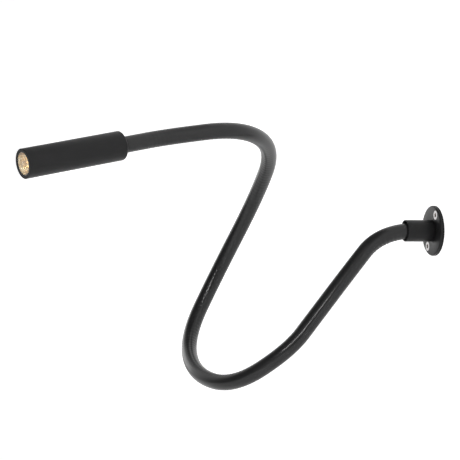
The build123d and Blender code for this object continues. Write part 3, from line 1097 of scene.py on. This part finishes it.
# %% Hidden pieces
hidden = [
    ("wall_ferrule", "wall_mount", "turned_steel", 0.1),
    ("cable_bush", "wall_mount", "bush_plastic", 0.15),
    ("head_ferrule", "head", "turned_steel", 0.1), ("lock_washer", "head", "zinc_steel", 0.08),
    ("lock_nut", "head", "zinc_steel", 0.15), ("heat_sink", "head", "sink_aluminium", 0.2),
    ("thermal_pad", "head", "pad_grey", 0.05), ("led_board", "head", "board_white", 0.1),
    ("led_package", "head", "package_white", 0.08), ("led_dome", "head", "dome_clear", 0),
    ("head_leads", "head", "lead_insulation", 0), ("solder_joints", "head", "solder", 0),
    ("reflector_spacer", "head", "spacer_plastic", 0.1),
]
for node, body, slot, edge in hidden:
    keep_node(node, body, slot, edge)
print("kept nodes", len(hidden))

# %% [markdown]
# ## Wall, floor and studio
# The light hangs on a white wall over a white floor. The camera sees both as white. The wall's back is
# left out, so that a view from behind still shows the plate's screws. Metal and glass see the same
# white as the camera does, from the wall, the floor and the backdrop behind the light on its left. The
# room on the camera's side is dim. That leaves pale lines along the arm's left edges and keeps the rest
# black.

# %% Wall and floor
def white_stage(name):
    finish = Finish(name)
    reflected = finish.ray_kind("Glossy").most(finish.ray_kind("Transmission"))
    seen = finish.ray_kind("Camera").most(reflected)
    lit = finish.principled(Base_Color=(0.9, 0.9, 0.9, 1), Roughness=0.8)
    shown = finish.principled(
        Base_Color=(0.8, 0.8, 0.8, 1), Roughness=1.0, Specular_IOR_Level=0.0,
        Emission_Color=(1, 1, 1, 1), Emission_Strength=0.9,
    )
    either = finish.node("ShaderNodeMixShader", None, {0: seen, 1: lit, 2: shown})
    behind = finish.node("ShaderNodeNewGeometry", output="Backfacing")
    clear = finish.node("ShaderNodeBsdfTransparent")
    sided = finish.node("ShaderNodeMixShader", None, {0: behind, 1: either, 2: clear})
    finish.node("ShaderNodeOutputMaterial", None, {"Surface": sided})
    return finish.material


stage_white = white_stage("stage_white")
floor_level = -0.55
floor_size = 6.0
wall_width = 5.0
wall_height = 2.6
wall_middle = (-1, 0.0002, floor_level + wall_height / 2)
select_only()
bpy.ops.mesh.primitive_plane_add(size=1, location=(0, 0, floor_level))
floor = named(bpy.context.object, "floor")
bpy.ops.transform.resize(value=(floor_size, floor_size, 1))
bpy.ops.mesh.primitive_plane_add(size=1, location=wall_middle, rotation=(pi / 2, 0, 0))
wall = named(bpy.context.object, "wall")
bpy.ops.transform.resize(value=(wall_width, 1, wall_height))
for stage in (floor, wall):
    select_only(stage)
    bpy.ops.object.transform_apply(location=True, rotation=True, scale=True)
    dress(stage, stage_white)
print("wall normal", wall.data.polygons[0].normal)

# %% Studio
camera_turn = radians(73.67)
right = Vector((cos(camera_turn), sin(camera_turn), 0))
forward = Vector((-sin(camera_turn), cos(camera_turn), 0))
up = Vector((0, 0, 1))
world = bpy.data.worlds.new("studio")
bpy.context.scene.world = world
world.use_nodes = True
studio = Graph(world.node_tree)
towards = studio.node("ShaderNodeTexCoord", output="Generated")
pale_way = forward * 0.76 - right * 0.6 + up * 0.25
pale_side = studio.vector_math("DOT_PRODUCT", towards, tuple(pale_way), output=1)
pale_share = studio.ramp(pale_side, (0.78, 0.0), (0.97, 1.0))
mirrored = studio.ray_kind("Glossy") * pale_share
seen = studio.ray_kind("Camera").most(studio.ray_kind("Transmission")).most(mirrored)
room = studio.node("ShaderNodeBackground", None, {"Color": (1, 1, 1, 1), "Strength": 0.10})
backdrop = studio.node("ShaderNodeBackground", None, {"Color": (1, 1, 1, 1), "Strength": 1.0})
shown = studio.node("ShaderNodeMixShader", None, {0: seen, 1: room, 2: backdrop})
studio.node("ShaderNodeOutputWorld", None, {"Surface": shown})

# %% [markdown]
# ## Lamps and camera
# A long narrow lamp hangs over the camera, tilted down to the left. It leaves the thin bright lines
# that run along the sleeve. A soft square lamp behind on the left greys the plate's face and the arm's
# left edges, and a weak one lies below. The camera stands level with the light and looks nearly along
# the wall through a long lens.

# %% Lamps
centre = (cad_low + cad_high) / 2
lamp_distance = 1.8


def lamp(name, way, length, width, power, lie=right):
    data = bpy.data.lights.new(name, "AREA")
    data.shape = "RECTANGLE"
    data.size = length
    data.size_y = width
    data.energy = power
    made = bpy.data.objects.new(name, data)
    back = way.normalized()
    along = (lie - back * lie.dot(back)).normalized()
    turn = Matrix((along, back.cross(along), back)).transposed()
    made.matrix_world = Matrix.Translation(centre + way * lamp_distance) @ turn.to_4x4()
    made.visible_camera = False
    bpy.context.scene.collection.objects.link(made)


lamp("strip", -right * 0.22 + up * 0.33 - forward * 0.90, 1.2, 0.10, 16, right * 0.93 + up * 0.36)
lamp("edge", -right * 0.56 + up * 0.20 + forward * 0.80, 0.9, 0.9, 3.5)
lamp("low", -right * 0.10 - up * 0.80 - forward * 0.55, 0.7, 0.7, 2)

# %% Camera
camera_data = bpy.data.cameras.new("camera")
camera_data.lens = 140.87
camera_data.sensor_width = 36
camera = bpy.data.objects.new("camera", camera_data)
camera.location = (1.33404, -0.56134, 0.00064)
camera.rotation_euler = (pi / 2, 0, camera_turn)
bpy.context.scene.collection.objects.link(camera)
bpy.context.scene.camera = camera
bpy.context.scene.view_settings.view_transform = "Standard"
